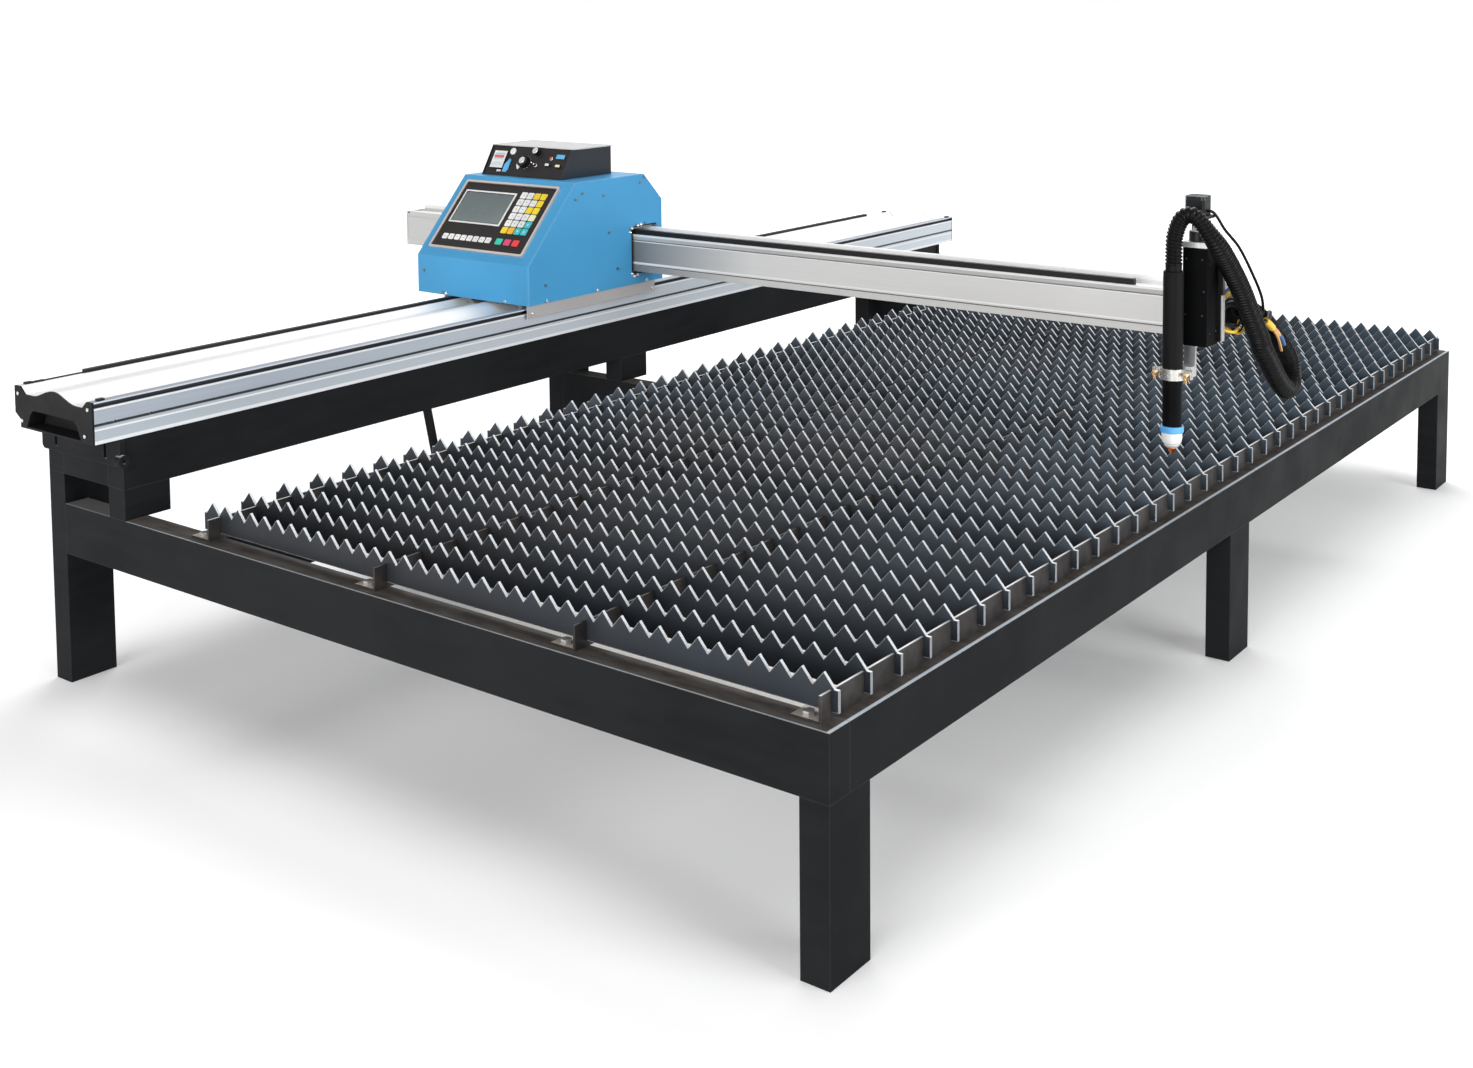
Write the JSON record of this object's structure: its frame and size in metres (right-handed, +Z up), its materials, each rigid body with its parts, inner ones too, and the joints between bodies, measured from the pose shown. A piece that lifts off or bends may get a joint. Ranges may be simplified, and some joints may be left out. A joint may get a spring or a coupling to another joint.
{
  "type": "cnc plasma table",
  "caption": "Low steel cutting table with a toothed slat bed, a side rail, a blue motor carriage with control panel, and a cantilevered beam with a torch lifter and hose.",
  "frame": {"origin": "on the floor, at the centre of the footprint's bounding box, hose and cable left out", "axes": "+X from the rail side to the torch side, +Y from the front to the rear along the rail, +Z up"},
  "size_m": [2.4538, 3.162, 0.9601],
  "materials": {
    "frame_steel": "satin",
    "rail_aluminium": "anodised satin",
    "black_plastic": "matte",
    "rack_steel": "satin",
    "zinc_steel": "bright",
    "slat_steel": "dark mill finish",
    "comb_steel": "dark mill finish",
    "plate_steel": "satin",
    "housing_blue": "semi-gloss powder coat",
    "bezel_metal": "satin",
    "panel_black": "matte film",
    "screen": "gloss",
    "keys": "matte film",
    "box_black": "satin",
    "lid_light": "satin",
    "knob_black": "satin",
    "motor_black": "satin",
    "gear_steel": "machined",
    "beam_aluminium": "anodised satin",
    "lifter_black": "satin",
    "lifter_alloy": "machined",
    "screw_black": "black oxide",
    "torch_black": "satin",
    "collar_blue": "gloss",
    "cup_white": "gloss",
    "nozzle_copper": "machined copper",
    "hose_black": "ribbed, satin",
    "cable_black": "satin"
  },
  "bodies": {
    "table": {"front_beam": "frame_steel", "middle_beam": "frame_steel", "rear_beam": "frame_steel", "right_beam": "frame_steel", "bed_beam": "frame_steel", "bed_joists": "frame_steel", "right_legs": "frame_steel", "left_legs": "frame_steel", "support_posts": "frame_steel", "support_cross_tubes": "frame_steel", "support_beam_left": "frame_steel", "support_beam_right": "frame_steel", "support_prop": "frame_steel", "rail_brackets": "frame_steel", "rail_extrusion": "rail_aluminium", "rail_end_caps": "black_plastic", "rail_rack": "rack_steel", "rail_screws": "zinc_steel", "slats": "slat_steel", "combs": "comb_steel", "comb_bolts": "zinc_steel"},
    "carriage": {"carriage_plate": "plate_steel", "carriage_skirts": "zinc_steel", "housing_shell": "housing_blue", "housing_side_right": "housing_blue", "housing_side_left": "housing_blue", "housing_screws": "zinc_steel", "panel_bezel": "bezel_metal", "panel_face": "panel_black", "screen": "screen", "keypad": "keys", "height_box": "box_black", "height_lid": "lid_light", "height_face": "box_black", "rail_motor": "motor_black", "beam_motor": "motor_black", "beam_guides": "plate_steel"},
    "rail_gear": {"rail_pinion": "gear_steel"},
    "front_wheels": {"axle_front": "zinc_steel"},
    "rear_wheels": {"axle_rear": "zinc_steel"},
    "beam_gear": {"beam_pinion": "gear_steel"},
    "left_roller": {"roller_left": "zinc_steel"},
    "right_roller": {"roller_right": "zinc_steel"},
    "level_knob": {"height_knob": "knob_black"},
    "level_dial": {"height_dial": "knob_black"},
    "beam": {"gantry_beam": "beam_aluminium", "beam_rack": "rack_steel", "beam_end_plates": "beam_aluminium", "lifter_housing": "lifter_black", "lifter_frame": "lifter_alloy", "lifter_motor": "motor_black", "torch_hose": "hose_black", "motor_cable": "cable_black"},
    "screw": {"lift_screw": "screw_black"},
    "torch": {"lift_arm": "lifter_alloy", "torch_clamp": "lifter_alloy", "torch_body": "torch_black", "torch_collar": "collar_blue", "torch_cup": "cup_white", "torch_nozzle": "nozzle_copper"}
  },
  "joints": [
    {"name": "carriage_travel", "type": "slide", "parent": "table", "child": "carriage", "axis": [0, 1, 0], "range_m": [-1.1, 1.48]},
    {"name": "beam_travel", "type": "slide", "parent": "carriage", "child": "beam", "axis": [1, 0, 0], "range_m": [-1.3, 0.06]},
    {"name": "torch_lift", "type": "slide", "parent": "beam", "child": "torch", "axis": [0, 0, 1], "range_m": [-0.005, 0.035], "deforming": ["torch_hose"]},
    {"name": "rail_gear_turn", "type": "hinge", "parent": "carriage", "child": "rail_gear", "pos_m": [-0.633, -0.1875, 0.6433], "axis": [1, 0, 0], "continuous": true},
    {"name": "front_wheels_turn", "type": "hinge", "parent": "carriage", "child": "front_wheels", "pos_m": [-0.515, -0.385, 0.6123], "axis": [1, 0, 0], "continuous": true},
    {"name": "rear_wheels_turn", "type": "hinge", "parent": "carriage", "child": "rear_wheels", "pos_m": [-0.515, 0.01, 0.6123], "axis": [1, 0, 0], "continuous": true},
    {"name": "beam_gear_turn", "type": "hinge", "parent": "carriage", "child": "beam_gear", "pos_m": [-0.56, -0.043, 0.7723], "axis": [0, 1, 0], "continuous": true},
    {"name": "left_roller_turn", "type": "hinge", "parent": "carriage", "child": "left_roller", "pos_m": [-0.731, -0.013, 0.6297], "axis": [0, 1, 0], "continuous": true},
    {"name": "right_roller_turn", "type": "hinge", "parent": "carriage", "child": "right_roller", "pos_m": [-0.389, -0.013, 0.6297], "axis": [0, 1, 0], "continuous": true},
    {"name": "screw_turn", "type": "hinge", "parent": "beam", "child": "screw", "pos_m": [1.1455, -0.114, 0.78], "axis": [0, 0, 1], "continuous": true},
    {"name": "level_knob_turn", "type": "hinge", "parent": "carriage", "child": "level_knob", "pos_m": [-0.58596, -0.21944, 0.92226], "axis": [0, -0.8595, 0.5111], "range_deg": [-135, 135]},
    {"name": "level_dial_turn", "type": "hinge", "parent": "carriage", "child": "level_dial", "pos_m": [-0.5532, -0.20492, 0.94668], "axis": [0, -0.8595, 0.5111], "range_deg": [-135, 135]}
  ],
  "couplings": [
    {"joint": "rail_gear_turn", "follows": "carriage_travel", "rad_per_m": -27.778},
    {"joint": "front_wheels_turn", "follows": "carriage_travel", "rad_per_m": -38.462},
    {"joint": "rear_wheels_turn", "follows": "carriage_travel", "rad_per_m": -38.462},
    {"joint": "beam_gear_turn", "follows": "beam_travel", "rad_per_m": -41.667},
    {"joint": "left_roller_turn", "follows": "beam_travel", "rad_per_m": 83.333},
    {"joint": "right_roller_turn", "follows": "beam_travel", "rad_per_m": 83.333},
    {"joint": "screw_turn", "follows": "torch_lift", "rad_per_m": 1256.6}
  ]
}
